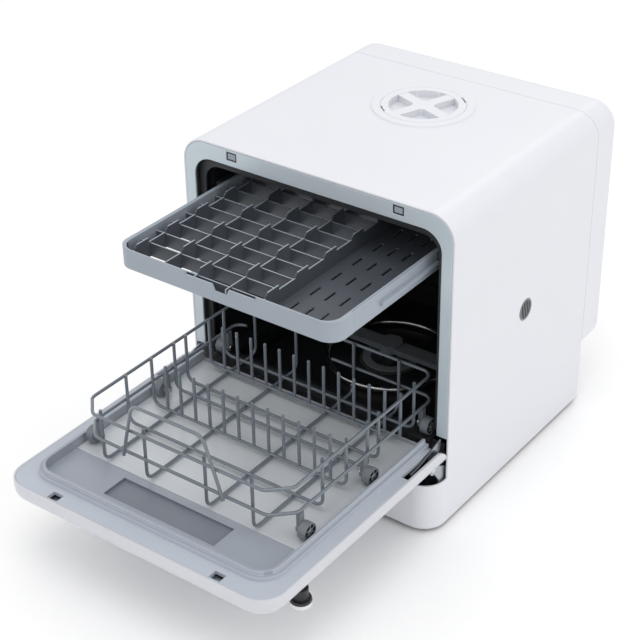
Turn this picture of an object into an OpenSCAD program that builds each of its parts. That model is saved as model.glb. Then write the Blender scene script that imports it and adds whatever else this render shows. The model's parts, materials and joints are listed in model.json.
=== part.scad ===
/* [Casing] */
// Overall width of the casing
case_w = 420; // [400:1:460]
// Height of the casing top above the floor
case_top = 453; // [450:1:480]
// Depth of the wrap-around shell behind the front plane
shell_d = 358; // [354:1:380]
// Depth of the rear bulge behind the shell
bulge_d = 58; // [50:1:80]
// Height of the underside of the rear bulge
bulge_z = 86; // [80:1:110]
// Radius of the two upper casing corners
corner_r = 35; // [30:1:40]
// Wall thickness of the casing
wall = 3; // [2:0.5:3.5]
// Radius of the rounded rear edges of the bulge
bulge_edge_r = 16; // [8:1:20]
// Height of the feet
foot_h = 6; // [4:1:10]
// Radius of each foot
foot_r = 14; // [10:1:18]

/* [Front skirt] */
// How far the skirt under the door stands forward
skirt_reach = 36; // [35:1:42]
// Height of the top edge of the skirt
skirt_top = 75.5; // [60:0.5:76]
// Plan radius of the skirt corners
skirt_r = 32; // [24:1:34]

/* [Front frame] */
// Width of the frame band beside the mouth
band_side = 18.5; // [17:0.5:22]
// Width of the frame band above the mouth
band_top = 25.5; // [22:0.5:30]
// Height at which the side bands end above the hinges
band_foot = 136; // [134:1:150]
// Depth from the front plane to the inner sealing lip
lip_y = 10; // [10:0.5:14]

/* [Tub] */
// Distance from the side of the casing to the inside of the tub
tub_side = 30; // [29:1:34]
// Distance from the casing top down to the tub ceiling
tub_drop = 37; // [34:1:39]
// Distance from the front plane to the mouth of the tub
tub_y = 22; // [20:1:26]
// Distance from the tub's back wall to the back of the shell
tub_rear = 20; // [16:1:24]
// Depth of the wheel track below the door's inner face
track_drop = 2.5; // [2:0.1:3]
// Depth of the basin below the wheel track
basin_drop = 35.5; // [32:0.5:38]
// Wall thickness of the tub
tub_wall = 2.5; // [1.5:0.5:3]

/* [Door] */
// Height of the lower edge of the closed door
door_foot = 77; // [75:1:80]
// Height of the inner face of the open door
door_z = 126; // [125.5:0.5:127]
// Thickness of the door
door_t = 30; // [28:1:31]
// Radius of the rounded outer edges of the door
door_edge_r = 20; // [12:1:22]
// Height of the sealing ridge on the door
ridge_h = 10.6; // [8:0.1:10.7]
// Height of the step outside the ridge
step_h = 5.5; // [3:0.5:6]
// Radius of the hinge pins
pin_r = 4; // [3:0.5:5]

/* [Control knob] */
// Radius of the knob
knob_r = 13; // [10:0.5:14]
// Distance from the door's outer face to the back of the knob
knob_gap = 17; // [8:1:20]
// Thickness of the knob
knob_t = 9; // [6:0.5:12]

/* [Cutlery tray] */
// Distance from the tub wall to the side of the tray
tray_side = 13; // [12:0.5:15]
// Distance from the tub ceiling down to the tray rim
tray_drop = 32; // [26:1:36]
// Height of the tray walls
tray_h = 27; // [24:1:30]
// Distance that the tray stands out of the machine
tray_out = 184; // [160:1:186]
// Thickness of the grid ribs
rib_t = 2; // [1.5:0.5:3]
// Spacing of the ribs across the tray
rib_dx = 51; // [45:1:54]
// Spacing of the ribs along the tray
rib_dy = 29; // [26:1:34]

/* [Dish rack] */
// Radius of the rack wires
wire_r = 2.25; // [2:0.25:2.5]
// Distance from the tub wall to the upper rail
rack_side = 19.5; // [19:0.5:26]
// Distance that the rack stands out of the machine
rack_out = 282; // [270:1:284]
// Height of the upper rail above the wheel track
upper_rise = 76; // [72:0.5:84]
// Height of the lower rail above the wheel track
lower_rise = 38.5; // [37:0.5:44]
// Height of the bottom wires above the wheel track
bottom_rise = 3.5; // [3:0.1:8]
// Height of the handle loop above the wheel track
handle_rise = 120.5; // [104:0.5:122]
// Radius of the rack wheels
wheel_r = 11.7; // [10:0.1:11.7]

/* [Filler] */
// Radius of the filler cap
cap_r = 58; // [45:1:60]
// Radius of the ring round the cap
ring_r = 71; // [66:1:74]
// Distance from the middle of the filler to the back of the shell
filler_back = 106; // [100:1:118]

/* [Side vent] */
// Radius of the vent grille
vent_r = 14.5; // [12:0.5:18]
// Distance from the front plane to the middle of the vent
vent_y = 184; // [150:1:220]
// Height of the middle of the vent
vent_z = 240; // [200:1:280]

/* [Hidden] */

half_w = case_w / 2;
case_d = shell_d + bulge_d;
door_reach = case_top - door_foot;
// The middle of the whole object, door open, lies on the origin
front_y = (door_reach - case_d) / 2;
inner_half = half_w - wall;
inner_top = case_top - wall;
inner_r = corner_r - wall;
fit = 0.2;
run = 0.3;
arc = 64;
small_arc = 32;

mouth_half = half_w - band_side;
mouth_top = case_top - band_top;
tub_half = half_w - tub_side;
tub_top = case_top - tub_drop;
track_z = door_z - track_drop;
basin_z = track_z - basin_drop;
lip_half = tub_half + 2;
lip_top = tub_top - 2;
lip_r = 24;
frame_t = 3;
channel_half = mouth_half + 10;
channel_top = mouth_top + 7;
channel_t = 2.5;
neck_half = lip_half + 6;

tub_r = 24;
tub_back = shell_d - tub_rear;
insert_d = tub_back - tub_y + 4;
basin_half = tub_half - 22;
basin_front = tub_y + 4;
basin_back = tub_back - 4;
sump_y = (basin_front + basin_back) / 2;
sump_r = 38;
arm_r = basin_half - 10;
arm_z = track_z - 19;
sump_z = basin_z - 35.5;

// The hinge lies where the open door's inner face closes 1 mm off the front
close_gap = 1;
hinge_z = (door_foot + door_z + close_gap) / 2;
hinge_y = hinge_z - door_z - close_gap;
nose_r = door_z - hinge_z + 0.6;
door_under = door_z - door_t;
pan_wall = 2.5;
liner_t = 5.5;
liner_half = half_w - pan_wall - 0.3;
liner_back = hinge_y + 6;
plate_back = liner_back - 1;
floor_z = track_z - 1;
ridge_half = half_w - 25;
ridge_t = 4;
ridge_front = -(door_reach - 36);
step_w = 5;
ridge_back = -15;
recess_half = ridge_half - ridge_t;
ridge_outer = ridge_half + step_w;
ridge_r = 28;
plate_front = ridge_front + 68;
pocket_half = 88;
pocket_z = 118;
latch_x = half_w - 81.5;
latch_z = case_top - 12;
latch_half = 8;
latch_half_h = 6;
pocket_y = 14;
latch_travel = 4;
latch_back = pocket_y - latch_travel - 1.5;
latch_open_y = hinge_y + hinge_z - latch_z;
slot_in = half_w - 14;
slot_out = half_w - 3.8;
slot_front = hinge_y - 62;
arm_x = half_w - 12;
arm_t = 2.5;
eye_r = pin_r + 3.5;
bracket_x = half_w - 7.8;
bracket_t = 3;
knob_x = half_w - 15;
knob_y = -door_reach + 81;
knob_back = door_under - knob_gap;

tray_half = tub_half - tray_side;
tray_d = insert_d;
tray_top = tub_top - tray_drop;
tray_bottom = tray_top - tray_h;
tray_wall = 2.5;
tray_r = 22;
runner_start = 38;
runner_t = 3.3;
tongue_z = tray_bottom + 11;
tongue_t = 4;
tongue_out = 5;
divider_x = tray_half - 109;
first_rib_y = 12;

rail_half = tub_half - rack_side;
upper_z = track_z + upper_rise;
lower_z = track_z + lower_rise;
bottom_z = track_z + bottom_rise;
handle_z = track_z + handle_rise;
rack_front = -rack_out;
rack_back = insert_d - rack_out;
chamfer = 26;
wire_d = 2 * wire_r;
side_x = rail_half - wire_d;
lower_half = rail_half + 2;
long_x = [-rail_half + 32.5, -57, 39, rail_half - 49.5];
cross_y = [for (d = [85, 134, 179, 203, 252, 283]) rack_front + d];
axle_z = track_z + run + wheel_r;
axle_r = 2.5;
wheel_t = 11;
wheel_in = lower_half + wire_r - 0.5;
wheel_ys = [rack_front + 34, rack_front + 165, rack_back - 24];

collar_top = case_top + 2;
cup_r = cap_r + 0.4;
cup_bottom = tub_top + 9;
fan_r = vent_r + 2;
filler_y = shell_d - filler_back;
cap_t = 15;
cap_seat = collar_top - cap_t - fit;
duct_half = 31;
duct_h = 8;
duct_wall = 2.5;
tank_gap = 3;

// ---------- shared outlines ----------

// Round-cornered upright outline, square at its foot
module arch(half, foot, top, r) {
    translate([-half, foot]) square([2 * half, top - r - foot]);
    translate([-half + r, foot]) square([2 * (half - r), top - foot]);
    for (s = [-1, 1]) translate([s * (half - r), top - r]) circle(r, $fn = arc);
}

// Plan outline with rounded front corners
module tongue(half, front, back, r) {
    translate([-half, front + r]) square([2 * half, back - front - r]);
    translate([-half + r, front]) square([2 * (half - r), back - front]);
    for (s = [-1, 1]) translate([s * (half - r), front + r]) circle(r, $fn = arc);
}

// Extrudes an upright outline from y0 to y1
module upright(y0, y1) {
    translate([0, y1, 0]) rotate([90, 0, 0]) linear_extrude(y1 - y0) children();
}

// Extrudes a plan outline from z0 to z1
module flat(z0, z1) {
    translate([0, 0, z0]) linear_extrude(z1 - z0) children();
}

// Extrudes a side outline (y, z) from x0 to x1
module sideways(x0, x1) {
    translate([x0, 0, 0]) rotate([90, 0, 90]) linear_extrude(x1 - x0) children();
}

module at_front() {
    translate([0, front_y, 0]) children();
}

module both_sides() {
    children();
    mirror([1, 0, 0]) children();
}

module box(x0, x1, y0, y1, z0, z1) {
    translate([x0, y0, z0]) cube([x1 - x0, y1 - y0, z1 - z0]);
}

module rod_x(x0, x1, r) {
    translate([x0, 0, 0]) rotate([0, 90, 0]) cylinder(h = x1 - x0, r = r, $fn = small_arc);
}

module rod_y(y0, y1, r) {
    translate([0, y0, 0]) rotate([-90, 0, 0]) cylinder(h = y1 - y0, r = r, $fn = small_arc);
}

// One straight piece of wire, drawn a little past its bends
module wire_piece(a, b, past_a, past_b) {
    d = b - a;
    len = norm(d);
    translate(a - d / len * past_a)
        rotate([0, acos(d[2] / len), atan2(d[1], d[0])])
            cylinder(h = len + past_a + past_b, r = wire_r, $fn = 8);
}

module wire(points, closed = false) {
    n = len(points);
    bend = wire_r * 0.4;
    for (i = [0:n - (closed ? 1 : 2)])
        wire_piece(points[i], points[(i + 1) % n],
            closed || i > 0 ? bend : 0, closed || i < n - 2 ? bend : 0);
}

// ---------- casing ----------

module skirt_outline(inset) {
    tongue(half_w - inset, -skirt_reach + inset, wall + 6, skirt_r - inset);
}

module outer_shell() {
    color("white") at_front() difference() {
        union() {
            upright(0, shell_d) arch(half_w, foot_h, case_top, corner_r);
            flat(foot_h, skirt_top) skirt_outline(0);
        }
        upright(-1, shell_d + 1) arch(inner_half, foot_h - 1, inner_top, inner_r);
        flat(foot_h - 1, skirt_top + 1) skirt_outline(wall);
        translate([0, filler_y, inner_top - 5]) cylinder(h = 20, r = ring_r - 6, $fn = arc);
        translate([0, vent_y, vent_z]) rod_x(inner_half - 5, half_w + 1, vent_r + 1);
    }
}

module bulge_solid(inset) {
    top = case_top - inset;
    low = bulge_z + inset;
    half = half_w - inset;
    deep = case_d - inset;
    edge = bulge_edge_r - inset;
    low_r = 24 - inset;
    hull() {
        for (s = [-1, 1]) {
            translate([s * (half - corner_r + inset), 0, top - corner_r + inset])
                bulge_corner(corner_r - inset, deep, edge);
            translate([s * (half - low_r), 0, low + low_r]) bulge_corner(low_r, deep, edge);
        }
    }
}

// A round bar along y whose far edge is rounded
module bulge_corner(r, deep, edge) {
    translate([0, shell_d, 0]) rotate([-90, 0, 0]) rotate_extrude($fn = 32)
        polygon(concat([[0, 0], [r, 0]],
            [for (a = [0:15:90]) [r - edge + edge * cos(a), deep - shell_d - edge + edge * sin(a)]],
            [[0, deep - shell_d]]));
}

module back_cover() {
    color("white") at_front() difference() {
        bulge_solid(0);
        translate([0, -0.5, 0]) bulge_solid(wall);
    }
}

module rear_panel() {
    color("white") at_front() difference() {
        upright(shell_d - wall, shell_d)
            translate([-inner_half + fit, foot_h + wall])
                square([2 * (inner_half - fit), bulge_z + 30 - foot_h - wall]);
        translate([-130, 0, 48]) rod_y(shell_d - 9, shell_d + 1, 14);
        translate([-70, 0, 38]) rod_y(shell_d - 9, shell_d + 1, 10);
        box(116, 144, shell_d - 9, shell_d + 1, 30, 52);
    }
}

module base_pan() {
    front_wall = 13;
    color("dimgray") at_front() {
        difference() {
            union() {
                flat(foot_h, foot_h + wall) pan_outline();
                box(-half_w + 14, half_w - 14, front_wall, front_wall + 2, foot_h + 1, track_z - 6);
                for (s = [-1, 1], y = [60, shell_d - 58])
                    translate([s * (basin_half - 18), y, foot_h + 1])
                        cylinder(h = basin_z - tub_wall - foot_h - 1, r = 8, $fn = small_arc);
            }
            for (p = foot_spots()) translate([p[0], p[1], 0])
                cylinder(h = 20, r = 3.1, $fn = small_arc);
        }
    }
}

module pan_outline() {
    tongue(inner_half - fit, -skirt_reach + wall + fit, shell_d - wall - fit, skirt_r - wall - fit);
}

function foot_spots() = [for (s = [-1, 1], y = [12, shell_d - 38]) [s * (half_w - 38), y]];

module feet() {
    color("black") at_front() for (p = foot_spots()) translate([p[0], p[1], 0]) {
        cylinder(h = foot_h, r = foot_r, $fn = small_arc);
        cylinder(h = foot_h + wall + 2, r = 3, $fn = small_arc);
    }
}

module shell_screws() {
    color("silver") at_front() for (s = [-1, 1], z = [20, 78])
        translate([s * (half_w - 18), 0, z]) rod_y(shell_d, shell_d + 2.2, 4);
}

// ---------- front frame, gasket, tub ----------

module band_ring(inner, inner_top_z, inner_r_, outer, outer_top_z, outer_r_, y0, y1) {
    upright(y0, y1) difference() {
        arch(outer, band_foot, outer_top_z, outer_r_);
        translate([0, -1]) arch(inner, band_foot - 1, inner_top_z + 1, inner_r_);
    }
}

module front_frame() {
    color("lightsteelblue") at_front() difference() {
        union() {
            band_ring(mouth_half, mouth_top, 28, inner_half - fit, inner_top - fit, inner_r - fit,
                0, frame_t);
            band_ring(channel_half - channel_t, channel_top - channel_t, 34,
                channel_half, channel_top, 36, frame_t - 1, lip_y + frame_t);
            band_ring(lip_half, lip_top, lip_r, channel_half - 1, channel_top - 1, 35,
                lip_y, lip_y + frame_t);
            band_ring(neck_half, lip_top + 6, lip_r + 6, neck_half + 2, lip_top + 8, lip_r + 8,
                lip_y + 1, tub_y);
            for (s = [-1, 1])
                box(s * latch_x - latch_half - 2, s * latch_x + latch_half + 2, frame_t - 1,
                    pocket_y + 2, latch_z - latch_half_h - 2, inner_top - fit);
        }
        for (s = [-1, 1])
            box(s * latch_x - latch_half, s * latch_x + latch_half, -1, pocket_y,
                latch_z - latch_half_h, latch_z + latch_half_h);
    }
}

module door_gasket() {
    gap = 0.5;
    color("black") at_front()
        band_ring(mouth_half + gap, mouth_top + gap, 28 + gap,
            channel_half - channel_t - gap, channel_top - channel_t - gap, 34,
            frame_t + gap, lip_y - gap);
}

module tub() {
    color("black") at_front() difference() {
        union() {
            upright(tub_y, tub_back + tub_wall)
                arch(tub_half + tub_wall, track_z - tub_wall, tub_top + tub_wall, tub_r + tub_wall);
            upright(tub_y, tub_y + 3)
                arch(neck_half + 2, track_z - tub_wall, lip_top + 8, lip_r + 8);
            box(-basin_half - tub_wall, basin_half + tub_wall, basin_front - tub_wall,
                basin_back + tub_wall, basin_z - tub_wall, track_z);
        }
        upright(tub_y - 1, tub_back) arch(tub_half, track_z, tub_top, tub_r);
        box(-basin_half, basin_half, basin_front, basin_back, basin_z, track_z + 1);
        translate([0, sump_y, 0]) cylinder(h = basin_z + 5, r = sump_r, $fn = arc);
    }
}

module tub_sill() {
    color("black") at_front()
        box(-tub_half + 2, tub_half - 2, 3, tub_y, track_z - 6, track_z - 2.5);
}

module tray_rail(side) {
    z0 = tongue_z - 7;
    z1 = tongue_z + tongue_t + 9;
    color("dimgray") at_front() mirror([side < 0 ? 1 : 0, 0, 0]) difference() {
        box(tray_half + run + 0.3, tub_half, 28, tub_back - 4, z0, z1);
        box(tray_half, tray_half + tongue_out + run + 0.5, 27, tub_back,
            tongue_z - run, tongue_z + tongue_t + run);
    }
}

module tray_rail_left() {
    tray_rail(-1);
}

module tray_rail_right() {
    tray_rail(1);
}

// ---------- hinges and latches of the casing ----------

module hinge_bracket(side) {
    x1 = bracket_x + bracket_t;
    stem_y = 12;
    color("gray") at_front() mirror([side < 0 ? 1 : 0, 0, 0]) difference() {
        union() {
            translate([0, hinge_y, hinge_z]) rod_x(bracket_x, x1, eye_r);
            sideways(bracket_x, x1) polygon([[hinge_y + 1, hinge_z - eye_r + 1],
                [hinge_y + 1, hinge_z + eye_r - 1], [stem_y, hinge_z - 14],
                [stem_y, foot_h + wall], [-stem_y, foot_h + wall], [-stem_y, hinge_z - 24]]);
        }
        translate([0, hinge_y, hinge_z]) rod_x(bracket_x - 1, x1 + 1, pin_r);
    }
}

module hinge_bracket_left() {
    hinge_bracket(-1);
}

module hinge_bracket_right() {
    hinge_bracket(1);
}

module hinge_pins() {
    color("silver") at_front() both_sides() translate([0, hinge_y, hinge_z])
        rod_x(arm_x - 1.5, bracket_x + bracket_t, pin_r);
}

module latch(x) {
    half = latch_half - run;
    half_h = latch_half_h - run;
    color("silver") at_front() difference() {
        box(x - half, x + half, 0.4, latch_back, latch_z - half_h, latch_z + half_h);
        translate([x, 0, latch_z]) rod_y(1.5, latch_back + 1, 3.2);
    }
}

module latch_left() {
    latch(-latch_x);
}

module latch_right() {
    latch(latch_x);
}

module latch_springs() {
    color("silver") at_front() for (s = [-1, 1]) translate([s * latch_x, 0, latch_z])
        rod_y(latch_travel + 2, pocket_y, 2.5);
}

// ---------- filler, tank and side vent ----------

module filler_collar() {
    duct_front = filler_y + cap_r - 12;
    duct_back = shell_d + tank_gap;
    color("white") at_front() difference() {
        union() {
            translate([0, filler_y, 0]) rotate_extrude($fn = arc) polygon([
                [0, cup_bottom], [cup_r + duct_wall, cup_bottom], [cup_r + duct_wall, case_top - 6],
                [ring_r - 7, case_top - 6], [ring_r - 7, case_top], [ring_r, case_top],
                [ring_r - 1.5, collar_top], [cup_r, collar_top], [cup_r, cap_seat],
                [cap_r - 4, cap_seat], [cap_r - 4, cup_bottom + duct_wall],
                [0, cup_bottom + duct_wall]]);
            box(-duct_half - duct_wall, duct_half + duct_wall, duct_front + 5, duct_back,
                cup_bottom, cup_bottom + duct_h + 2 * duct_wall);
        }
        box(-duct_half, duct_half, duct_front, duct_back + 1,
            cup_bottom + duct_wall, cup_bottom + duct_wall + duct_h);
        translate([0, filler_y, cup_bottom + duct_wall]) cylinder(h = 40, r = cap_r - 4, $fn = arc);
    }
}

module water_tank() {
    t = 2.5;
    tank_half = half_w - 25;
    z0 = bulge_z + wall + 8;
    y0 = shell_d + tank_gap;
    y1 = case_d - wall - 2;
    z1 = inner_top - 8;
    color("whitesmoke") at_front() difference() {
        box(-tank_half, tank_half, y0, y1, z0, z1);
        box(-tank_half + t, tank_half - t, y0 + t, y1 - t, z0 + t, z1 - t);
        box(-duct_half, duct_half, y0 - 1, y0 + t + 1,
            cup_bottom + duct_wall, cup_bottom + duct_wall + duct_h);
    }
}

module filler_cap() {
    dish_r = cap_r - 11;
    dish_z = collar_top - 10;
    color("white") at_front() translate([0, filler_y, 0]) {
        difference() {
            translate([0, 0, collar_top - cap_t]) cylinder(h = cap_t, r = cap_r, $fn = arc);
            translate([0, 0, dish_z]) cylinder(h = 20, r = dish_r, $fn = arc);
            translate([0, 0, collar_top - 12]) seal_ring(1.6);
        }
        intersection() {
            translate([0, 0, dish_z - 1]) cylinder(h = 12, r = dish_r + 1, $fn = arc);
            union() {
                for (a = [70, 160]) rotate([0, 0, a])
                    box(-dish_r - 1, dish_r + 1, -8, 8, dish_z - 1, collar_top - 0.5);
                translate([0, 0, dish_z - 1])
                    cylinder(h = collar_top - 0.5 - dish_z + 1, r = 15, $fn = arc);
            }
        }
    }
}

module seal_ring(r) {
    rotate_extrude($fn = arc) translate([cap_r - 1.2, 0]) circle(r, $fn = small_arc);
}

module cap_seal() {
    color("gray") at_front() translate([0, filler_y, collar_top - 12]) seal_ring(1.5);
}

module vent_grille() {
    color("darkgray") at_front() translate([0, vent_y, vent_z]) difference() {
        rod_x(inner_half - 3, half_w, vent_r + 0.8);
        for (i = [-3:3]) intersection() {
            rod_x(inner_half - 4, half_w + 1, vent_r - 1.5);
            box(inner_half - 4, half_w + 1, i * 4.4 - 1.3, i * 4.4 + 1.3, -20, 20);
        }
    }
}

module fan_housing() {
    x0 = tub_half + tub_wall;
    x1 = inner_half - 3;
    color("dimgray") at_front() translate([0, vent_y, vent_z]) difference() {
        box(x0, x1, -fan_r - 3, fan_r + 3, -fan_r - 3, fan_r + 3);
        rod_x(x0 + 3, x1 + 1, fan_r);
        rod_x(x0 - 1, x0 + 4, 2);
    }
}

module fan_rotor() {
    x0 = tub_half + tub_wall;
    color("black") at_front() translate([0, vent_y, vent_z]) {
        rod_x(x0 + 0.5, x0 + 8, 1.9);
        rod_x(x0 + 5, x0 + 15, 7);
        for (a = [0:60:300]) rotate([a, 0, 0]) box(x0 + 6, x0 + 14, -0.8, 0.8, 5, fan_r - 2);
    }
}

// ---------- water works ----------

module sump() {
    color("dimgray") at_front() translate([0, sump_y, 0]) difference() {
        union() {
            translate([0, 0, sump_z - 2.5]) cylinder(h = basin_z - sump_z + 2.5, r = sump_r - fit, $fn = arc);
            translate([0, 0, basin_z]) cylinder(h = 2, r = sump_r + 6, $fn = arc);
        }
        translate([0, 0, sump_z]) cylinder(h = 60, r = sump_r - 3, $fn = arc);
    }
}

module filter_cup() {
    cup_z = sump_z + 5.5;
    color("lightgray") at_front() translate([0, sump_y, 0]) difference() {
        union() {
            translate([0, 0, cup_z]) cylinder(h = basin_z + 2 - cup_z, r = sump_r - 8, $fn = arc);
            translate([0, 0, basin_z + 2]) cylinder(h = 2, r = sump_r + 2, $fn = arc);
        }
        translate([0, 0, cup_z + 2]) cylinder(h = 60, r = sump_r - 10, $fn = arc);
        translate([0, 0, cup_z - 8]) cylinder(h = 20, r = 9.3, $fn = arc);
    }
}

module spray_pipe() {
    color("gray") at_front() translate([0, sump_y, sump_z]) difference() {
        cylinder(h = arm_z + 8 - sump_z, r = 9, $fn = arc);
        translate([0, 0, 3]) cylinder(h = 60, r = 7, $fn = arc);
    }
}

module spray_arm() {
    h = 9;
    color("lightgray") at_front() translate([0, sump_y, arm_z]) difference() {
        union() {
            cylinder(h = h + 4, r = 17, $fn = arc);
            box(-arm_r + 12, arm_r - 12, -12, 12, 1, h);
            for (s = [-1, 1]) translate([s * (arm_r - 12), 0, 1]) cylinder(h = h - 1, r = 12, $fn = arc);
        }
        translate([0, 0, -1]) cylinder(h = h + 2.5, r = 9.1, $fn = arc);
        for (s = [-1, 1], x = [40:32:136]) translate([s * x, s * 5, -1])
            cylinder(h = 20, r = 1.5, $fn = small_arc);
    }
}

module heater() {
    color("silver") at_front() translate([0, sump_y, 0]) {
        translate([0, 0, basin_z + 6]) rotate_extrude($fn = arc) translate([90, 0])
            circle(4, $fn = small_arc);
        for (a = [30:120:270]) rotate([0, 0, a]) box(84, 96, -3, 3, basin_z, basin_z + 5);
    }
}

module wash_pump() {
    z = foot_h + wall + 28;
    color("black") at_front() translate([0, 110, z]) difference() {
        union() {
            rod_x(-150, -95, 22);
            rod_x(-95, -72, 28);
            box(-145, -75, -12, 12, -28, 0);
        }
        rod_x(-92, -74.5, 25);
        rod_x(-120, -91, 3.1);
    }
}

module pump_impeller() {
    z = foot_h + wall + 28;
    color("white") at_front() translate([0, 110, z]) {
        rod_x(-118, -76, 3);
        rod_x(-90, -87, 22);
        for (a = [0:60:300]) rotate([a, 0, 0]) box(-87.5, -78, -1, 1, 4, 20);
        rod_x(-88, -78, 5);
    }
}

module drain_pump() {
    z = foot_h + wall + 20;
    color("black") at_front() translate([0, 110, z]) {
        rod_x(70, 130, 18);
        rod_x(52, 70, 20);
        box(56, 126, -10, 10, -20, 0);
    }
}

module inlet_valve() {
    color("white") at_front() box(-150, -110, shell_d - 36, shell_d - 9, foot_h + wall, 66);
}

module control_board() {
    color("green") at_front() {
        box(-inner_half, -inner_half + 5, 190, 290, 170, 260);
        box(-inner_half + 5, -inner_half + 17, 205, 270, 185, 245);
    }
}

module power_inlet() {
    color("black") at_front() difference() {
        box(116.3, 143.7, shell_d - 26, shell_d + 3, 30.3, 51.7);
        box(119, 141, shell_d - 14, shell_d + 4, 33, 49);
        box(100, 160, shell_d + 2.9, shell_d + 5, 20, 60);
    }
}

module inlet_spigot() {
    color("lightgray") at_front() translate([-130, 0, 48]) difference() {
        union() {
            rod_y(shell_d - 9, shell_d, 13.7);
            rod_y(shell_d - 1, shell_d + 16, 13.2);
        }
        rod_y(shell_d - 4, shell_d + 17, 9);
    }
}

module drain_spigot() {
    color("lightgray") at_front() translate([-70, 0, 38]) difference() {
        union() {
            rod_y(shell_d - 14, shell_d, 9.7);
            rod_y(shell_d - 1, shell_d + 20, 9);
        }
        rod_y(shell_d - 9, shell_d + 21, 6.5);
    }
}

// ---------- door ----------

// Section through the rounded lower edge of the door pan, w wide
module edge_profile(w, inset) {
    edge = door_edge_r - inset;
    low = door_under + inset;
    top = door_z + (inset > 0 ? 1 : 0);
    translate([0, low]) square([w - edge, top - low]);
    translate([0, low + edge]) square([w, top - low - edge]);
    intersection() {
        translate([w - edge, low + edge]) circle(edge, $fn = arc);
        translate([w - edge - 1, low]) square([edge + 1, edge + 1]);
    }
}

// The outside of the door pan, drawn in by inset
module door_solid(inset) {
    r = corner_r - inset;
    x = half_w - corner_r;
    y = -door_reach + corner_r;
    back = hinge_y + nose_r + 1;
    intersection() {
        union() {
            for (s = [-1, 1]) translate([s * x, y, 0]) rotate_extrude($fn = arc) edge_profile(r, inset);
            both_sides() translate([x, back, 0]) rotate([90, 0, 0])
                linear_extrude(back - y) edge_profile(r, inset);
            sideways(-x, x) translate([y, 0]) mirror([1, 0]) edge_profile(r, inset);
            box(-x, x, y, back, door_under + inset, door_z + (inset > 0 ? 1 : 0));
        }
        sideways(-half_w - 1, half_w + 1) nose_profile(inset);
    }
}

// Side outline of the door with its round nose about the hinge
module nose_profile(inset) {
    back = hinge_y + nose_r;
    upper_r = door_z - hinge_z;
    lower_r = hinge_z - door_under;
    front = -door_reach - 1;
    flat_end = inset > 0 ? liner_back + 0.2 : back - upper_r;
    translate([front, hinge_z - 0.1]) square([flat_end - front, upper_r + 5]);
    translate([front, door_under - 1]) square([back - lower_r - front, lower_r + 1]);
    translate([back - lower_r, hinge_z]) circle(lower_r - inset, $fn = arc);
    intersection() {
        translate([back - upper_r, hinge_z]) circle(upper_r - inset, $fn = arc);
        translate([-door_reach, hinge_z]) square(door_reach + 50);
    }
}

module door_panel() {
    color("white") at_front() difference() {
        door_solid(0);
        door_solid(pan_wall);
        both_sides() hinge_slot(slot_in, hinge_y - eye_r - 0.7, door_under - 1);
        box(-ridge_outer - fit, ridge_outer + fit, liner_back - 1, ridge_back + fit,
            door_z - liner_t - fit, door_z + 1);
        box(-recess_half - fit, recess_half + fit, liner_back - 1, 5,
            door_z - liner_t - fit, door_z + 1);
        translate([knob_x, knob_y, door_under - 5]) cylinder(h = 20, r = 7.5, $fn = small_arc);
    }
}

// The slot that clears the fixed bracket or the moving arm
module hinge_slot(x0, y0, z0) {
    box(x0, slot_out, y0, 20, z0, door_z + 20);
}

module ridge_outline(half, front) {
    tongue(half, front, ridge_back, ridge_r + half - ridge_half);
}

module door_liner() {
    rim_front = ridge_front - ridge_t;
    color("lightsteelblue") at_front() difference() {
        union() {
            flat(door_z - liner_t, door_z)
                tongue(liner_half, -door_reach + pan_wall + 0.3, liner_back, corner_r - pan_wall - 0.3);
            flat(door_z - liner_t, door_z + step_h) ridge_outline(ridge_outer, rim_front - step_w);
            flat(door_z - liner_t, door_z + ridge_h) ridge_outline(ridge_half, rim_front);
            box(-recess_half, recess_half, liner_back - 2, hinge_y + 12.5, door_z - liner_t, floor_z);
            box(-pocket_half - 2.5, pocket_half + 2.5, plate_front - 52.5, plate_front - 8.5,
                pocket_z - 2.5, floor_z);
        }
        flat(floor_z, door_z + 20) tongue(recess_half, ridge_front, 0, ridge_r - ridge_t);
        box(-pocket_half, pocket_half, plate_front - 50, plate_front - 11, pocket_z, door_z);
        both_sides() {
            hinge_slot(slot_in, slot_front, door_z - 10);
            box(latch_x - latch_half, latch_x + latch_half, latch_open_y - 6.5, latch_open_y + 6.5,
                door_z - 10, door_z + 1);
        }
    }
}

module door_plate() {
    color("silver") at_front() box(-recess_half + 1, recess_half - 1,
        plate_front, plate_back, floor_z, track_z);
}

module latch_strikers() {
    color("silver") at_front() both_sides() {
        box(latch_x - 8.5, latch_x + 8.5, latch_open_y - 9.5, latch_open_y + 9.5,
            door_z - liner_t - 4, door_z - liner_t - 2.5);
        box(latch_x - 12, latch_x - 8.5, latch_open_y - 9.5, latch_open_y + 9.5,
            door_z - liner_t - 4, door_z - liner_t);
        box(latch_x - 2, latch_x + 2, latch_open_y - 9.5, latch_open_y - 5.5,
            door_z - liner_t - 2.5, door_z - liner_t);
    }
}

module hinge_arm(side) {
    x1 = arm_x + arm_t;
    edge = door_edge_r - pan_wall;
    foot = arm_foot(edge, x1 - half_w + door_edge_r);
    color("gray") at_front() mirror([side < 0 ? 1 : 0, 0, 0]) translate([0, hinge_y, hinge_z])
        difference() {
            union() {
                rod_x(arm_x, x1, eye_r);
                sideways(arm_x, x1) polygon([[-60, foot], [-eye_r - 1, foot], [-1, -eye_r + 1],
                    [22, 20], [23, 33], [10, 31], [-24, 21], [-60, 17]]);
            }
            rod_x(arm_x - 1, x1 + 1, pin_r + 0.08);
        }
}

// Height above the hinge where the pan's rounded inside carries the arm
function arm_foot(edge, x) =
    door_under + door_edge_r - hinge_z - sqrt(edge * edge - x * x) + 0.1;

module hinge_arm_left() {
    hinge_arm(-1);
}

module hinge_arm_right() {
    hinge_arm(1);
}

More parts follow.
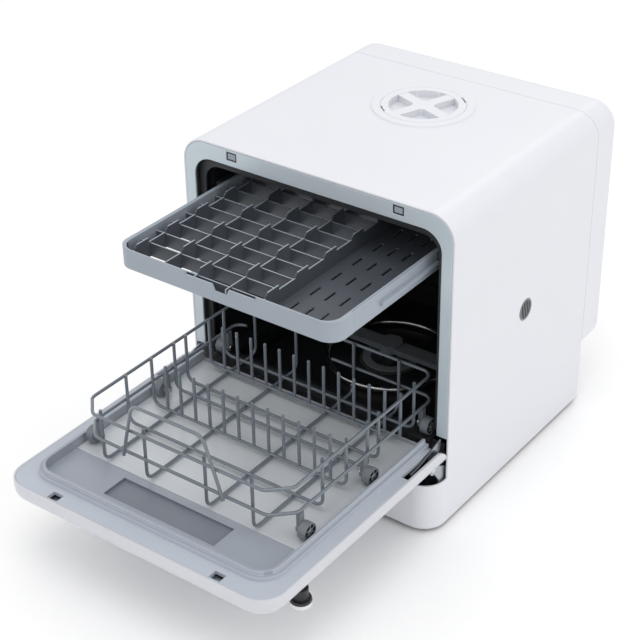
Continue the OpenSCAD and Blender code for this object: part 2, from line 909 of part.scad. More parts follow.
module knob_encoder() {
    z1 = door_z - liner_t;
    color("green") at_front() translate([knob_x, knob_y, 0]) difference() {
        box(-9, 7, -9, 9, z1 - 14, z1);
        translate([0, 0, z1 - 15]) cylinder(h = 11, r = 6.1, $fn = small_arc);
    }
}

module control_knob() {
    dark_t = 3.5;
    at_front() translate([knob_x, knob_y, 0]) {
        color("black") translate([0, 0, knob_back - dark_t])
            cylinder(h = dark_t, r = knob_r, $fn = arc);
        color("black") translate([0, 0, knob_back - 1])
            cylinder(h = door_z - liner_t - 5 - knob_back + 1, r = 6, $fn = small_arc);
        color("black") translate([0, 0, knob_back - 1])
            cylinder(h = knob_gap - 0.5, r = 9.5, $fn = small_arc);
        color("white") translate([0, 0, knob_back - knob_t])
            cylinder(h = knob_t - dark_t, r = knob_r + 0.6, $fn = arc);
    }
}

// ---------- cutlery tray ----------

module at_tray() {
    at_front() translate([0, -tray_out, 0]) children();
}

module cutlery_tray() {
    inset = runner_t + fit;
    rows = floor((tray_d - 2 * tray_wall - first_rib_y) / rib_dy);
    columns = floor((divider_x + tray_half - inset - tray_wall - 10) / rib_dx);
    rib_top = tray_bottom + 21;
    color("slategray") at_tray() {
        difference() {
            union() {
                flat(tray_bottom, tray_top) tongue(tray_half, 0, tray_d, tray_r);
            }
            flat(tray_bottom - 1, tray_top + 1)
                tongue(tray_half - inset - tray_wall, tray_wall, tray_d - tray_wall, tray_r - tray_wall);
            both_sides() box(tray_half - inset, tray_half + 1, runner_start - fit, tray_d + 1,
                tray_bottom - 1, tray_top + 1);
            flat(tray_top - 4.5, tray_top + 1)
                polygon([[-58, -1], [-50, 5], [46, 5], [58, -1]]);
            upright(-1, 5) polygon([[-15, tray_top + 1], [-9, tray_top - 13],
                [9, tray_top - 13], [15, tray_top + 1]]);
        }
        // ribs along the tray
        for (i = [0:columns]) let (x = divider_x - i * rib_dx)
            box(x - rib_t / 2, x + rib_t / 2, tray_wall - 1, tray_d - tray_wall + 1,
                tray_bottom, rib_top);
        // ribs across the tray
        for (j = [0:rows]) let (y = first_rib_y + j * rib_dy)
            box(-tray_half + inset + 1, divider_x, y - rib_t / 2, y + rib_t / 2,
                tray_bottom, rib_top - 2);
        // raised fins that hold the spoons apart
        for (i = [0:columns], j = [i % 2:2:rows - 1])
            let (x = divider_x - i * rib_dx, y = first_rib_y + j * rib_dy)
                sideways(x - rib_t / 2, x + rib_t / 2) polygon([[y, rib_top - 1], [y, rib_top + 2],
                    [y + 5, tray_top], [y + rib_dy - 3, tray_top], [y + rib_dy - 3, rib_top - 1]]);
        // floor of the chopstick bay
        difference() {
            box(divider_x - 1, tray_half - inset - 1, tray_wall - 1, tray_d - tray_wall + 1,
                tray_bottom, tray_bottom + 2);
            for (x = [divider_x + 18:22:tray_half - 25], y = [30:44:tray_d - 40])
                box(x - 2, x + 2, y, y + 24, tray_bottom - 1, tray_bottom + 3);
            flat(tray_bottom - 1, tray_bottom + 3) difference() {
                square([2 * tray_half, 60], center = true);
                tongue(tray_half - 1, 1, 200, tray_r);
            }
        }
    }
}

module tray_runner(side) {
    color("slategray") at_tray() mirror([side < 0 ? 1 : 0, 0, 0]) {
        box(tray_half - runner_t, tray_half, runner_start, tray_d, tray_bottom, tray_top);
        box(tray_half - 1, tray_half + tongue_out, 90, tray_d, tongue_z, tongue_z + tongue_t);
    }
}

module tray_runner_left() {
    tray_runner(-1);
}

module tray_runner_right() {
    tray_runner(1);
}

// ---------- dish rack ----------

function loop_points(half, z, front) = [
    [-half, rack_back, z], [-half, front + chamfer, z], [-half + chamfer, front, z],
    [half - chamfer, front, z], [half, front + chamfer, z], [half, rack_back, z]];

module rack_rails() {
    color("gray") at_front() {
        wire(loop_points(rail_half, upper_z, rack_front), closed = true);
        wire(loop_points(lower_half, lower_z, rack_front + 3), closed = true);
    }
}

module rack_long_wires() {
    y0 = rack_front + wire_d + 3.1;
    y1 = rack_back - wire_d - 0.1;
    color("gray") at_front() for (x = long_x)
        wire([[x, y0, upper_z + 4], [x, y0, bottom_z + 12], [x, y0 + 12, bottom_z],
            [x, y1 - 12, bottom_z], [x, y1, bottom_z + 12], [x, y1, upper_z + 4]]);
}

module rack_cross_wires() {
    z = bottom_z + wire_d + 0.1;
    color("gray") at_front() for (y = cross_y)
        wire([[-side_x, y, upper_z + 4], [-side_x, y, z + 12], [-side_x + 12, y, z],
            [side_x - 12, y, z], [side_x, y, z + 12], [side_x, y, upper_z + 4]]);
}

module rack_handle() {
    y = rack_front - wire_d - 0.1;
    color("gray") at_front()
        wire([[-82, y, lower_z], [-68, y, handle_z - 12], [-57, y, handle_z],
            [45, y, handle_z], [62, y, handle_z - 14], [76, y, lower_z]]);
}

module rack_tines() {
    z = bottom_z + wire_d + wire_r + 0.2;
    tine_x = rail_half - 28.5;
    color("gray") at_front() for (y = [cross_y[1], cross_y[4]], x = [-tine_x:24:tine_x])
        translate([x, y, z]) cylinder(h = 66, r = wire_r, $fn = 8);
}

module wheel_brackets() {
    x0 = lower_half - 5;
    x1 = wheel_in - 0.5;
    color("gray") at_front() both_sides() for (y = wheel_ys) difference() {
        sideways(x0, x1) union() {
            translate([y, axle_z]) circle(6, $fn = small_arc);
            translate([y - 4, axle_z]) square([8, lower_z - wire_r - axle_z - 0.1]);
        }
        translate([0, y, axle_z]) rod_x(x0 - 1, x1 + 1, axle_r + 0.08);
    }
}

module axle(y) {
    translate([0, y, axle_z]) {
        rod_x(lower_half - 6.5, wheel_in + wheel_t + 0.6, axle_r);
        rod_x(lower_half - 7.5, lower_half - 5.2, axle_r + 1.5);
    }
}

module rear_axles() {
    color("silver") at_front() both_sides() for (i = [1, 2]) axle(wheel_ys[i]);
}

module front_axles() {
    color("silver") at_front() both_sides() axle(wheel_ys[0]);
}

module wheel(y) {
    translate([0, y, axle_z]) difference() {
        rod_x(wheel_in, wheel_in + wheel_t, wheel_r);
        rod_x(wheel_in - 1, wheel_in + wheel_t + 1, axle_r + 0.08);
        difference() {
            rod_x(wheel_in + wheel_t - 2, wheel_in + wheel_t + 1, wheel_r - 2);
            rod_x(wheel_in + wheel_t - 3, wheel_in + wheel_t + 1, axle_r + 2.5);
            for (a = [0:60:300]) rotate([a, 0, 0])
                box(wheel_in + wheel_t - 3, wheel_in + wheel_t + 1, -0.8, 0.8, 0, wheel_r);
        }
    }
}

module front_wheels() {
    color("dimgray") at_front() both_sides() wheel(wheel_ys[0]);
}

module middle_wheels() {
    color("dimgray") at_front() both_sides() wheel(wheel_ys[1]);
}

module rear_wheels() {
    color("dimgray") at_front() both_sides() wheel(wheel_ys[2]);
}

outer_shell();
back_cover();
rear_panel();
base_pan();
feet();
shell_screws();
front_frame();
door_gasket();
tub();
tub_sill();
tray_rail_left();
tray_rail_right();
hinge_bracket_left();
hinge_bracket_right();
hinge_pins();
latch_left();
latch_right();
latch_springs();
filler_collar();
water_tank();
filler_cap();
cap_seal();
vent_grille();
fan_housing();
fan_rotor();
sump();
filter_cup();
spray_pipe();
spray_arm();
heater();
wash_pump();
pump_impeller();
drain_pump();
inlet_valve();
control_board();
power_inlet();
inlet_spigot();
drain_spigot();
door_panel();
door_liner();
door_plate();
latch_strikers();
hinge_arm_left();
hinge_arm_right();
knob_encoder();
control_knob();
cutlery_tray();
tray_runner_left();
tray_runner_right();
rack_rails();
rack_long_wires();
rack_cross_wires();
rack_handle();
rack_tines();
wheel_brackets();
rear_axles();
front_axles();
front_wheels();
middle_wheels();
rear_wheels();
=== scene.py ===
import json
import math
import bpy
from mathutils import Matrix, Vector


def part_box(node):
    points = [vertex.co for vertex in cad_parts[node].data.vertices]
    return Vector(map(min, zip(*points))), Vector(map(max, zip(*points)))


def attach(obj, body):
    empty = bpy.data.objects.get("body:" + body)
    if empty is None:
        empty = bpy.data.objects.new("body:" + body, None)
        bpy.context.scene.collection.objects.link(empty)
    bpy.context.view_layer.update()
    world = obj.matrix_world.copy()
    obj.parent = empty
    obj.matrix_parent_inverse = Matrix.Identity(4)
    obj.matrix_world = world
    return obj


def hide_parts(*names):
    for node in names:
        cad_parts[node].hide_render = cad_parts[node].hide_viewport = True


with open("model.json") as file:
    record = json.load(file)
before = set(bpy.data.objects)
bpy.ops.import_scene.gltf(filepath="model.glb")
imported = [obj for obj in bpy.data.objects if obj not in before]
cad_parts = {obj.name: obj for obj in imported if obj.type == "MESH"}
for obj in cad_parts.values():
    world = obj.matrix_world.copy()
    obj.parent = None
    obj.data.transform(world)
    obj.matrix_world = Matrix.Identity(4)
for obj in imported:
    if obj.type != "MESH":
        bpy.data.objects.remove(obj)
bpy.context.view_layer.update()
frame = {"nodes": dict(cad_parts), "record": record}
bodyOf = {node: body for body, nodes in frame["record"]["behaviour"]["bodies"].items() for node in nodes}
slotOf = {s["node"]: s["material_slot"] for s in frame["record"]["subparts"]}
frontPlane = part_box("front_frame")[0].y
print("frame loaded")


# Millimetres from the front plane of the casing to metres in the frame
def at(x, y, z):
    return Vector((x / 1000, y / 1000 + frontPlane, z / 1000))


camera = {
    "place": (1.0712, -1.4443, 1.3321),
    "forward": (-0.5099, 0.6839, -0.5218),
    "roll": -0.892,       # degrees
    "lens": 90.15,        # mm on a 36 mm sensor, square picture
}


def addCamera(c):
    forward = Vector(c["forward"]).normalized()
    side = forward.cross(Vector((0, 0, 1))).normalized()
    up = side.cross(forward)
    roll = math.radians(c["roll"])
    right = side * math.cos(roll) + up * math.sin(roll)
    top = up * math.cos(roll) - side * math.sin(roll)
    data = bpy.data.cameras.new("photoCamera")
    data.lens = c["lens"]
    data.sensor_width = 36.0
    data.dof.use_dof = False
    cam = bpy.data.objects.new("photoCamera", data)
    bpy.context.scene.collection.objects.link(cam)
    turn = Matrix((right, top, -forward)).transposed().to_4x4()
    cam.matrix_world = Matrix.Translation(c["place"]) @ turn
    bpy.context.scene.camera = cam


addCamera(camera)

studio = {
    "floorSize": 12.0,
    "floorDrop": 0.0002,
    "floorColour": (0.98, 0.98, 0.98),
    "skyStrength": 0.9,
    "aim": (0, 0, 0.2),
    # place, size and power of each light
    "lights": {
        "keyLight": ((0.3, -0.8, 3.0), 2.0, 18.0),      # over the open door
        "fillLight": ((2.6, 0.1, 1.5), 1.6, 7.0),       # from the right, for the long side
        "rimLight": ((-0.6, 2.4, 2.4), 1.6, 7.0),       # from behind
    },
}


def addLight(name, place, size, power, aim):
    data = bpy.data.lights.new(name, "AREA")
    data.shape = "DISK"
    data.size = size
    data.energy = power
    lamp = bpy.data.objects.new(name, data)
    bpy.context.scene.collection.objects.link(lamp)
    lamp.location = place
    lamp.rotation_euler = (Vector(aim) - Vector(place)).to_track_quat("-Z", "Y").to_euler()


def addStudio(s):
    for name, (place, size, power) in s["lights"].items():
        addLight(name, place, size, power, s["aim"])
    world = bpy.data.worlds.new("studioWorld")
    world.use_nodes = True
    back = world.node_tree.nodes["Background"]
    back.inputs["Color"].default_value = (1, 1, 1, 1)
    back.inputs["Strength"].default_value = s["skyStrength"]
    bpy.context.scene.world = world
    bpy.context.scene.view_settings.view_transform = "Standard"
    bpy.ops.object.select_all(action="DESELECT")
    bpy.ops.mesh.primitive_plane_add(size=s["floorSize"], location=(0, 0, -s["floorDrop"]))
    floor = bpy.context.object
    floor.name = "studioFloor"
    return floor


floor = addStudio(studio)
print("studio set")


texture = {"cloudScale": 14.0, "glossScale": 45.0, "dentDepth": 0.0004, "coatRoughness": 0.08}


# A finish with a cloudy colour, an uneven gloss and a fine grain, all on object coordinates
def makeFinish(name, colour, roughness, metallic=0.0, mottle=0.03, grain=900.0, bump=0.02,
               roughSpread=0.06, stretch=(1, 1, 1), coat=0.0):
    mat = bpy.data.materials.new(name)
    mat.use_nodes = True
    tree = mat.node_tree
    shader = tree.nodes["Principled BSDF"]
    shader.inputs["Metallic"].default_value = metallic
    shader.inputs["Coat Weight"].default_value = coat
    shader.inputs["Coat Roughness"].default_value = texture["coatRoughness"]
    place = tree.nodes.new("ShaderNodeTexCoord")
    mapping = tree.nodes.new("ShaderNodeMapping")
    mapping.inputs["Scale"].default_value = stretch
    tree.links.new(place.outputs["Object"], mapping.inputs["Vector"])

    def noise(scale, detail):
        node = tree.nodes.new("ShaderNodeTexNoise")
        node.inputs["Scale"].default_value = scale
        node.inputs["Detail"].default_value = detail
        tree.links.new(mapping.outputs["Vector"], node.inputs["Vector"])
        return node

    def ramp(source, low, high):
        node = tree.nodes.new("ShaderNodeValToRGB")
        node.color_ramp.elements[0].position = 0.3
        node.color_ramp.elements[1].position = 0.7
        node.color_ramp.elements[0].color = (*low, 1)
        node.color_ramp.elements[1].color = (*high, 1)
        tree.links.new(source.outputs["Fac"], node.inputs["Fac"])
        return node

    wide = noise(texture["cloudScale"], 3.0)
    low = [c * (1 - mottle) for c in colour]
    high = [min(1.0, c * (1 + mottle)) for c in colour]
    tree.links.new(ramp(wide, low, high).outputs["Color"], shader.inputs["Base Color"])
    spread = noise(texture["glossScale"], 4.0)
    rough = tree.nodes.new("ShaderNodeMapRange")
    rough.inputs["To Min"].default_value = max(0.02, roughness - roughSpread)
    rough.inputs["To Max"].default_value = roughness + roughSpread
    tree.links.new(spread.outputs["Fac"], rough.inputs["Value"])
    tree.links.new(rough.outputs["Result"], shader.inputs["Roughness"])
    fine = noise(grain, 2.0)
    dent = tree.nodes.new("ShaderNodeBump")
    dent.inputs["Strength"].default_value = bump
    dent.inputs["Distance"].default_value = texture["dentDepth"]
    tree.links.new(fine.outputs["Fac"], dent.inputs["Height"])
    tree.links.new(dent.outputs["Normal"], shader.inputs["Normal"])
    return mat


finishes = {
    "casing_white": makeFinish("casingWhite", (0.71, 0.72, 0.76), 0.34, mottle=0.006, bump=0.05),
    "rear_grey": makeFinish("rearGrey", (0.56, 0.57, 0.59), 0.45),
    "base_grey": makeFinish("baseGrey", (0.05, 0.052, 0.056), 0.5),
    "foot_rubber": makeFinish("footRubber", (0.02, 0.02, 0.02), 0.7, bump=0.1),
    "bright_steel": makeFinish("brightSteel", (0.62, 0.63, 0.65), 0.22, metallic=1.0),
    "frame_grey": makeFinish("frameGrey", (0.54, 0.61, 0.66), 0.30, metallic=0.2, mottle=0.012, bump=0.004),
    "seal_rubber": makeFinish("sealRubber", (0.025, 0.027, 0.03), 0.6, bump=0.06),
    "tub_dark": makeFinish("tubDark", (0.012, 0.013, 0.015), 0.34),
    "rail_grey": makeFinish("railGrey", (0.035, 0.042, 0.05), 0.42),
    "hinge_steel": makeFinish("hingeSteel", (0.42, 0.45, 0.48), 0.34, metallic=1.0),
    "latch_grey": makeFinish("latchGrey", (0.03, 0.033, 0.038), 0.4),
    "tank_plastic": makeFinish("tankPlastic", (0.72, 0.75, 0.77), 0.4),
    "vent_grey": makeFinish("ventGrey", (0.22, 0.22, 0.24), 0.45),
    "filter_grey": makeFinish("filterGrey", (0.16, 0.18, 0.2), 0.42),
    "pump_black": makeFinish("pumpBlack", (0.015, 0.015, 0.018), 0.45),
    "board_green": makeFinish("boardGreen", (0.02, 0.10, 0.05), 0.5),
    "liner_grey": makeFinish("linerGrey", (0.46, 0.495, 0.555), 0.38, mottle=0.015,
                             grain=1400.0, bump=0.12),
    "door_steel": makeFinish("doorSteel", (0.64, 0.67, 0.70), 0.34, metallic=0.2, mottle=0.02,
                             grain=500.0, bump=0.06, stretch=(1, 24, 1)),
    "knob_white": makeFinish("knobWhite", (0.72, 0.73, 0.75), 0.2),
    "tray_grey": makeFinish("trayGrey", (0.31, 0.35, 0.40), 0.42, mottle=0.03, bump=0.06),
    "wire_grey": makeFinish("wireGrey", (0.15, 0.175, 0.205), 0.24, mottle=0.04, coat=0.6),
    "wheel_grey": makeFinish("wheelGrey", (0.17, 0.19, 0.21), 0.42),
    "floor": makeFinish("paleFloor", studio["floorColour"], 0.7, mottle=0.004, bump=0.0),
    "shadeDark": makeFinish("shadeDark", (0.02, 0.022, 0.025), 0.5),
    # painted shade in the gaps between the vent's slats
    "slatGapShade": makeFinish("slatGapShade", (0.03, 0.03, 0.03), 0.5),
    # painted shade on the door panel, a greyer copy of the casing white
    "doorShadedWhite": makeFinish("doorShadedWhite", (0.61, 0.62, 0.66), 0.36, mottle=0.006, bump=0.05),
    # painted shade on the door liner's recessed bed and pocket
    "linerBed": makeFinish("linerBed", (0.34, 0.37, 0.42), 0.36, mottle=0.015, grain=1400.0, bump=0.12),
    "linerPocketShade": makeFinish("linerPocketShade", (0.20, 0.22, 0.26), 0.36, mottle=0.02, grain=1400.0, bump=0.1),
    # painted shade inside the tray's cells
    "trayInsideShade": makeFinish("trayInsideShade", (0.07, 0.08, 0.095), 0.42, mottle=0.03, bump=0.06),
}
floor.data.materials.append(finishes["floor"])

for nodeName, node in frame["nodes"].items():
    node.data.materials.clear()
    node.data.materials.append(finishes[slotOf[nodeName]])
print("CAD nodes dressed")


def selectOnly(piece):
    bpy.ops.object.select_all(action="DESELECT")
    piece.select_set(True)
    bpy.context.view_layer.objects.active = piece


# Gives a finished piece its finish, its body and the CAD nodes that it stands for
def fitPiece(piece, slotName, body, stands=()):
    piece.data.materials.clear()
    piece.data.materials.append(finishes[slotName])
    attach(piece, body)
    if stands:
        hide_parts(*stands)


# Gives the faces that pass a test a second finish
def paintFaces(piece, finishName, test):
    piece.data.materials.append(finishes[finishName])
    index = len(piece.data.materials) - 1
    for face in piece.data.polygons:
        if test(face.center, face.normal):
            face.material_index = index


rounding = {
    "merge": 0.00002,     # points closer than this are one
    "flat": 0.6,          # degrees between faces that lie in one plane
    "sharp": 32,          # degrees from which an edge is rounded
    "smooth": 35,         # degrees up to which a turn is shaded smooth
    "segments": 2,
}


# A copy of a CAD node with its loose triangles joined and its edges rounded
def roundNode(nodeName, pieceName, edge, r):
    node = frame["nodes"][nodeName]
    piece = bpy.data.objects.new(pieceName, node.data.copy())
    bpy.context.scene.collection.objects.link(piece)
    selectOnly(piece)
    bpy.ops.object.mode_set(mode="EDIT")
    bpy.ops.mesh.select_all(action="SELECT")
    bpy.ops.mesh.remove_doubles(threshold=r["merge"])
    bpy.ops.mesh.dissolve_limited(angle_limit=math.radians(r["flat"]))
    bpy.ops.object.mode_set(mode="OBJECT")
    if edge:
        bevel = piece.modifiers.new("edges", "BEVEL")
        bevel.width = edge / 1000
        bevel.segments = r["segments"]
        bevel.limit_method = "ANGLE"
        bevel.angle_limit = math.radians(r["sharp"])
        bevel.use_clamp_overlap = True
        bpy.ops.object.modifier_apply(modifier="edges")
    bpy.ops.object.shade_smooth_by_angle(angle=math.radians(r["smooth"]))
    flats = piece.modifiers.new("flats", "WEIGHTED_NORMAL")
    flats.keep_sharp = True
    bpy.ops.object.modifier_apply(modifier="flats")
    fitPiece(piece, slotOf[nodeName], bodyOf[nodeName], (nodeName,))
    return piece


# Edge radius of each rounded copy, in mm
roundedEdges = {
    "outer_shell": 0.9, "back_cover": 0, "rear_panel": 0.5, "base_pan": 0.5, "feet": 1.0,
    "front_frame": 0.8, "door_gasket": 1.4, "tray_rail_left": 0.6, "tray_rail_right": 0.6,
    "hinge_bracket_left": 0.5, "hinge_bracket_right": 0.5, "hinge_pins": 0.4,
    "latch_left": 0.8, "latch_right": 0.8, "filler_collar": 0.7, "filler_cap": 1.5,
    "vent_grille": 0.3, "spray_arm": 1.5, "filter_cup": 0.4,
    "power_inlet": 0.5, "inlet_spigot": 0.6, "drain_spigot": 0.6, "shell_screws": 0.6,
    "door_panel": 0.6, "door_liner": 0.7, "door_plate": 0.3, "latch_strikers": 0.3,
    "hinge_arm_left": 0.4, "hinge_arm_right": 0.4, "control_knob": 0.7,
    "cutlery_tray": 0.4, "tray_runner_left": 0.6, "tray_runner_right": 0.6,
    "wheel_brackets": 0.5, "rear_axles": 0.4, "front_axles": 0.4,
    "front_wheels": 0.6, "middle_wheels": 0.6, "rear_wheels": 0.6,
}


def pieceName(nodeName):
    first, *rest = nodeName.split("_")
    return first + "".join(word.capitalize() for word in rest) + "Look"


rounded = {name: roundNode(name, pieceName(name), edge, rounding) for name, edge in roundedEdges.items()}
print("edges rounded")

# Painted shade: the sealing channel behind the front band is painted dark
band = {"thickness": 3.1}
paintFaces(rounded["front_frame"], "shadeDark", lambda c, n: c.y > at(0, band["thickness"], 0).y)

# Painted shade: the spaces between the spokes are painted dark, past the wheel's own face and inside its
# rim
wheels = {"radius": 11.7, "height": 135.5, "outer": 175.25, "face": 0.3, "pocket": 2.2, "rim": 1.6}
wheelY = {"front_wheels": -248, "middle_wheels": -117, "rear_wheels": 14}


def paintSpokes(nodeName, w):
    hub = at(0, wheelY[nodeName], w["height"])

    def inShadedPocket(c, n):
        depth = w["outer"] / 1000 - abs(c.x)
        reach = math.hypot(c.y - hub.y, c.z - hub.z) * 1000
        return w["face"] / 1000 < depth < w["pocket"] / 1000 and reach < w["radius"] - w["rim"]

    paintFaces(rounded[nodeName], "shadeDark", inShadedPocket)


for nodeName in wheelY:
    paintSpokes(nodeName, wheels)

# The knob's neck and disc are black above its white cap
knob = {"capDepth": 5.4}
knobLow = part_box("control_knob")[0].z
paintFaces(rounded["control_knob"], "pump_black", lambda c, n: c.z > knobLow + knob["capDepth"] / 1000)

# The bed inside the door's sealing ridge is painted darker than the flange as painted shade, and the pocket
# in it darker again as deeper painted shade
door = {"crest": 138, "bedLow": 122.1, "recess": 181.2, "ridge": -336.2, "pocket": 88.5, "facing": -0.3}


def paintDoor(d):
    def onShadedBed(c, n):
        inside = abs(c.x) < d["recess"] / 1000 and c.y > at(0, d["ridge"], 0).y
        return inside and at(0, 0, d["bedLow"]).z < c.z < at(0, 0, d["crest"]).z

    def inShadedPocket(c, n):
        below = c.z < at(0, 0, d["bedLow"]).z
        return below and abs(c.x) < d["pocket"] / 1000 and n.z > d["facing"]

    paintFaces(rounded["door_liner"], "linerBed", onShadedBed)
    paintFaces(rounded["door_liner"], "linerPocketShade", inShadedPocket)


paintDoor(door)

# The inside of the tray is painted darker than its rim as painted shade in the cells, and the tops of its
# fins are left lighter
tray = {"wall": 3.4, "corner": 22, "cornerWall": 2, "rim": 0.2, "floor": 3.0, "top": 0.9}


def paintTray(t):
    low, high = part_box("cutlery_tray")
    side = -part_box("tray_runner_left")[1].x - t["wall"] / 1000
    front = low.y + t["wall"] / 1000

    def inShadedCells(c, n):
        finTop = n.z > t["top"] and c.z > low.z + t["floor"] / 1000
        overX = max(0, abs(c.x) - high.x + t["corner"] / 1000)
        overY = max(0, low.y + t["corner"] / 1000 - c.y)
        inCorners = math.hypot(overX, overY) < (t["corner"] - t["cornerWall"]) / 1000
        inWalls = abs(c.x) < side and c.y > front and inCorners
        return inWalls and c.z < high.z - t["rim"] / 1000 and not finTop

    paintFaces(rounded["cutlery_tray"], "trayInsideShade", inShadedCells)


paintTray(tray)

latch = {"rim": 1.4, "sink": 0.5, "slack": 0.2, "facing": -0.95}


# A sunk plate of the tray's grey in the dark face of each catch
def sinkLatchFace(nodeName, m):
    piece = rounded[nodeName]
    selectOnly(piece)
    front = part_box(nodeName)[0].y
    for face in piece.data.polygons:
        face.select = face.normal.y < m["facing"] and face.center.y < front + m["slack"] / 1000
    bpy.ops.object.mode_set(mode="EDIT")
    bpy.ops.mesh.select_mode(type="FACE")
    bpy.ops.mesh.inset(thickness=m["rim"] / 1000, depth=-m["sink"] / 1000)
    bpy.ops.object.mode_set(mode="OBJECT")
    sunk = front + m["sink"] / 1000
    paintFaces(piece, "tray_grey", lambda c, n: n.y < m["facing"] and abs(c.y - sunk) < m["slack"] / 1000)


for nodeName in ("latch_left", "latch_right"):
    sinkLatchFace(nodeName, latch)

# Painted shade: the sides of the vent's slats are painted black for the shade in its gaps, and the door is
# painted a little greyer than the casing for the shade on it
vent = {"facing": 0.6}
paintFaces(rounded["vent_grille"], "slatGapShade", lambda c, n: n.x < vent["facing"])
paintFaces(rounded["door_panel"], "doorShadedWhite", lambda c, n: True)
print("second finishes painted")


bending = {"sides": 12, "step": 15, "leastSteps": 3, "merge": 0.00005, "smooth": 40}


# One bent wire: a ring is pushed straight along each stretch and spun round each bend
def bendWire(name, points, radius, bend, closed=False):
    corners = [Vector(p) for p in points]
    if closed:
        start = (corners[0] + corners[-1]) / 2
        path = [start] + corners + [start]
    else:
        path = corners
    here = path[0]
    first = (path[1] - path[0]).normalized()
    bpy.ops.object.select_all(action="DESELECT")
    bpy.ops.mesh.primitive_circle_add(vertices=bending["sides"], radius=radius, location=here,
                                      fill_type="NOTHING" if closed else "NGON",
                                      rotation=first.to_track_quat("Z", "Y").to_euler())
    wire = bpy.context.object
    wire.name = name
    bpy.ops.object.mode_set(mode="EDIT")
    bpy.ops.mesh.select_all(action="SELECT")
    for i in range(1, len(path) - 1):
        before = (path[i] - path[i - 1]).normalized()
        after = (path[i + 1] - path[i]).normalized()
        turn = before.angle(after)
        setBack = bend * math.tan(turn / 2)
        stop = path[i] - before * setBack
        bpy.ops.mesh.extrude_region_move(TRANSFORM_OT_translate={"value": stop - here})
        axis = before.cross(after).normalized()
        centre = stop + axis.cross(before) * bend
        steps = max(bending["leastSteps"], round(math.degrees(turn) / bending["step"]))
        bpy.ops.mesh.spin(steps=steps, angle=-turn, center=centre, axis=axis)
        here = path[i] + after * setBack
    bpy.ops.mesh.extrude_region_move(TRANSFORM_OT_translate={"value": path[-1] - here})
    bpy.ops.mesh.select_all(action="SELECT")
    bpy.ops.mesh.remove_doubles(threshold=bending["merge"])
    bpy.ops.mesh.normals_make_consistent(inside=False)
    bpy.ops.object.mode_set(mode="OBJECT")
    bpy.ops.object.transform_apply(location=True, rotation=True, scale=True)
    bpy.ops.object.shade_smooth_by_angle(angle=math.radians(bending["smooth"]))
    return wire


def joinPieces(name, parts):
    selectOnly(parts[0])
    for part in parts[1:]:
        part.select_set(True)
    if len(parts) > 1:
        bpy.ops.object.join()
    joined = bpy.context.object
    joined.name = name
    return joined


rack = {
    "wire": 2.25, "gap": 0.1,            # wires that cross lie a gap apart
    "front": -282, "back": 38,
    "upperHalf": 160.5, "upperZ": 199.5,
    "lowerHalf": 162.5, "lowerZ": 162, "lowerBack": 3,
    "corner": 26, "railBend": 16, "wireBend": 12,
    "bottomZ": 127, "wireTop": 203.5,
    "longX": (-128, -57, 39, 111),
    "crossY": (-197, -148, -103, -79, -30, 1),
    "tineY": (-148, -30), "tineX": (-132, -108, -84, -60, -36, -12, 12, 36, 60, 84, 108, 132),
    "tineLength": 66, "tineSides": 10, "tineEnd": 0.7,
    "handleX": (-82, -62, 49, 76), "handleZ": 244, "handleBend": 15,
}


def makeRail(r, half, front, z, name):
    c = r["corner"]
    points = [at(-half, r["back"], z), at(-half, front + c, z), at(-half + c, front, z),
              at(half - c, front, z), at(half, front + c, z), at(half, r["back"], z)]
    return bendWire(name, points, r["wire"] / 1000, r["railBend"] / 1000, closed=True)


def makeRackRails(r):
    upper = makeRail(r, r["upperHalf"], r["front"], r["upperZ"], "upperRail")
    lower = makeRail(r, r["lowerHalf"], r["front"] + r["lowerBack"], r["lowerZ"], "lowerRail")
    rails = joinPieces("rackRails", [upper, lower])
    fitPiece(rails, "wire_grey", "rack", ("rack_rails",))


def makeLongWires(r):
    y0 = r["front"] + r["lowerBack"] + 2 * r["wire"] + r["gap"]
    y1 = r["back"] - 2 * r["wire"] - r["gap"]
    low, top = r["bottomZ"], r["wireTop"]
    wires = [bendWire("longWire", [at(x, y0, top), at(x, y0, low), at(x, y1, low), at(x, y1, top)],
                      r["wire"] / 1000, r["wireBend"] / 1000) for x in r["longX"]]
    fitPiece(joinPieces("rackLongWires", wires), "wire_grey", "rack", ("rack_long_wires",))


def makeCrossWires(r):
    x = r["upperHalf"] - 2 * r["wire"]
    z = r["bottomZ"] + 2 * r["wire"] + r["gap"]
    top = r["wireTop"]
    wires = [bendWire("crossWire", [at(-x, y, top), at(-x, y, z), at(x, y, z), at(x, y, top)],
                      r["wire"] / 1000, r["wireBend"] / 1000) for y in r["crossY"]]
    fitPiece(joinPieces("rackCrossWires", wires), "wire_grey", "rack", ("rack_cross_wires",))


def makeHandle(r):
    y = r["front"] - 2 * r["wire"] - r["gap"]
    low, top = r["lowerZ"], r["handleZ"]
    x0, x1, x2, x3 = r["handleX"]
    points = [at(x0, y, low), at(x1, y, top), at(x2, y, top), at(x3, y, low)]
    handle = bendWire("rackHandle", points, r["wire"] / 1000, r["handleBend"] / 1000)
    fitPiece(handle, "wire_grey", "rack", ("rack_handle",))


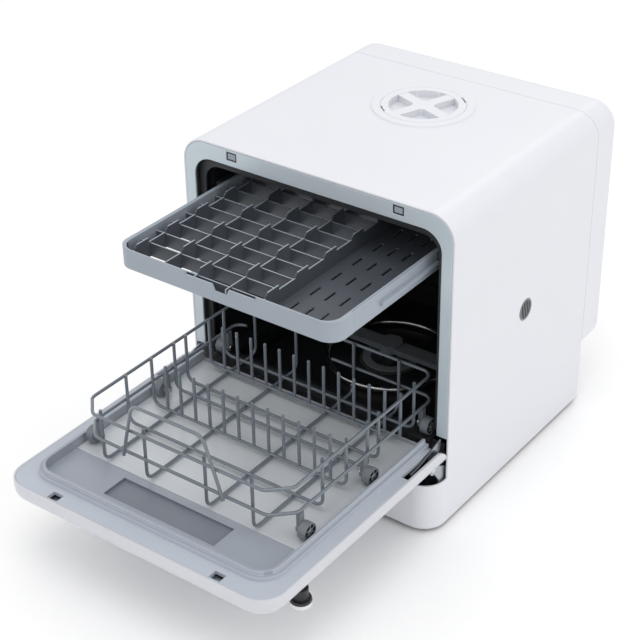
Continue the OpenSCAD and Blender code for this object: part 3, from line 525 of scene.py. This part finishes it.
def makeTines(r):
    low = r["bottomZ"] + 3 * r["wire"] + 2 * r["gap"]
    tines = []
    for y in r["tineY"]:
        for x in r["tineX"]:
            bpy.ops.object.select_all(action="DESELECT")
            bpy.ops.mesh.primitive_cylinder_add(vertices=r["tineSides"], radius=r["wire"] / 1000,
                                                depth=r["tineLength"] / 1000,
                                                location=at(x, y, low + r["tineLength"] / 2))
            tine = bpy.context.object
            bpy.ops.object.transform_apply(location=True)
            tines.append(tine)
    piece = joinPieces("rackTines", tines)
    bevel = piece.modifiers.new("ends", "BEVEL")
    bevel.width = r["wire"] * r["tineEnd"] / 1000
    bevel.segments = 3
    bevel.limit_method = "ANGLE"
    bevel.angle_limit = math.radians(60)
    bpy.ops.object.modifier_apply(modifier="ends")
    bpy.ops.object.shade_smooth_by_angle(angle=math.radians(bending["smooth"]))
    fitPiece(piece, "wire_grey", "rack", ("rack_tines",))


makeRackRails(rack)
makeLongWires(rack)
makeCrossWires(rack)
makeHandle(rack)
makeTines(rack)
print("rack wires bent")

capMarks = {
    "radius": 56.6, "width": 1.6, "rise": 0.25, "proud": 0.04,
    "angles": (36.5, 216.5), "half": 21, "gap": 3,     # degrees
    "steps": 10,
}


# Dark arcs on the rim of the filler cap, two at each side
def makeCapMarks(m):
    low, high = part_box("filler_cap")
    middle = (low + high) / 2
    arcs = []
    for angle in m["angles"]:
        for a, b in ((angle - m["half"], angle - m["gap"]), (angle + m["gap"], angle + m["half"])):
            toward = Vector((math.cos(math.radians(a)), math.sin(math.radians(a)), 0))
            start = middle + toward * m["radius"] / 1000
            start.z = high.z + (m["proud"] - m["rise"] / 2) / 1000
            bpy.ops.object.select_all(action="DESELECT")
            bpy.ops.mesh.primitive_plane_add(size=1, location=start,
                                             rotation=(math.pi / 2, 0, math.radians(a)))
            mark = bpy.context.object
            mark.dimensions = (m["width"] / 1000, m["rise"] / 1000, 0)
            bpy.ops.object.mode_set(mode="EDIT")
            bpy.ops.mesh.select_all(action="SELECT")
            bpy.ops.mesh.spin(steps=m["steps"], angle=-math.radians(b - a), center=(middle.x, middle.y, 0),
                              axis=(0, 0, 1))
            bpy.ops.mesh.select_all(action="SELECT")
            bpy.ops.mesh.normals_make_consistent(inside=False)
            bpy.ops.object.mode_set(mode="OBJECT")
            bpy.ops.object.transform_apply(location=True, rotation=True, scale=True)
            arcs.append(mark)
    marks = joinPieces("capMarks", arcs)
    fitPiece(marks, "latch_grey", "cap")


makeCapMarks(capMarks)
print("cap marked")
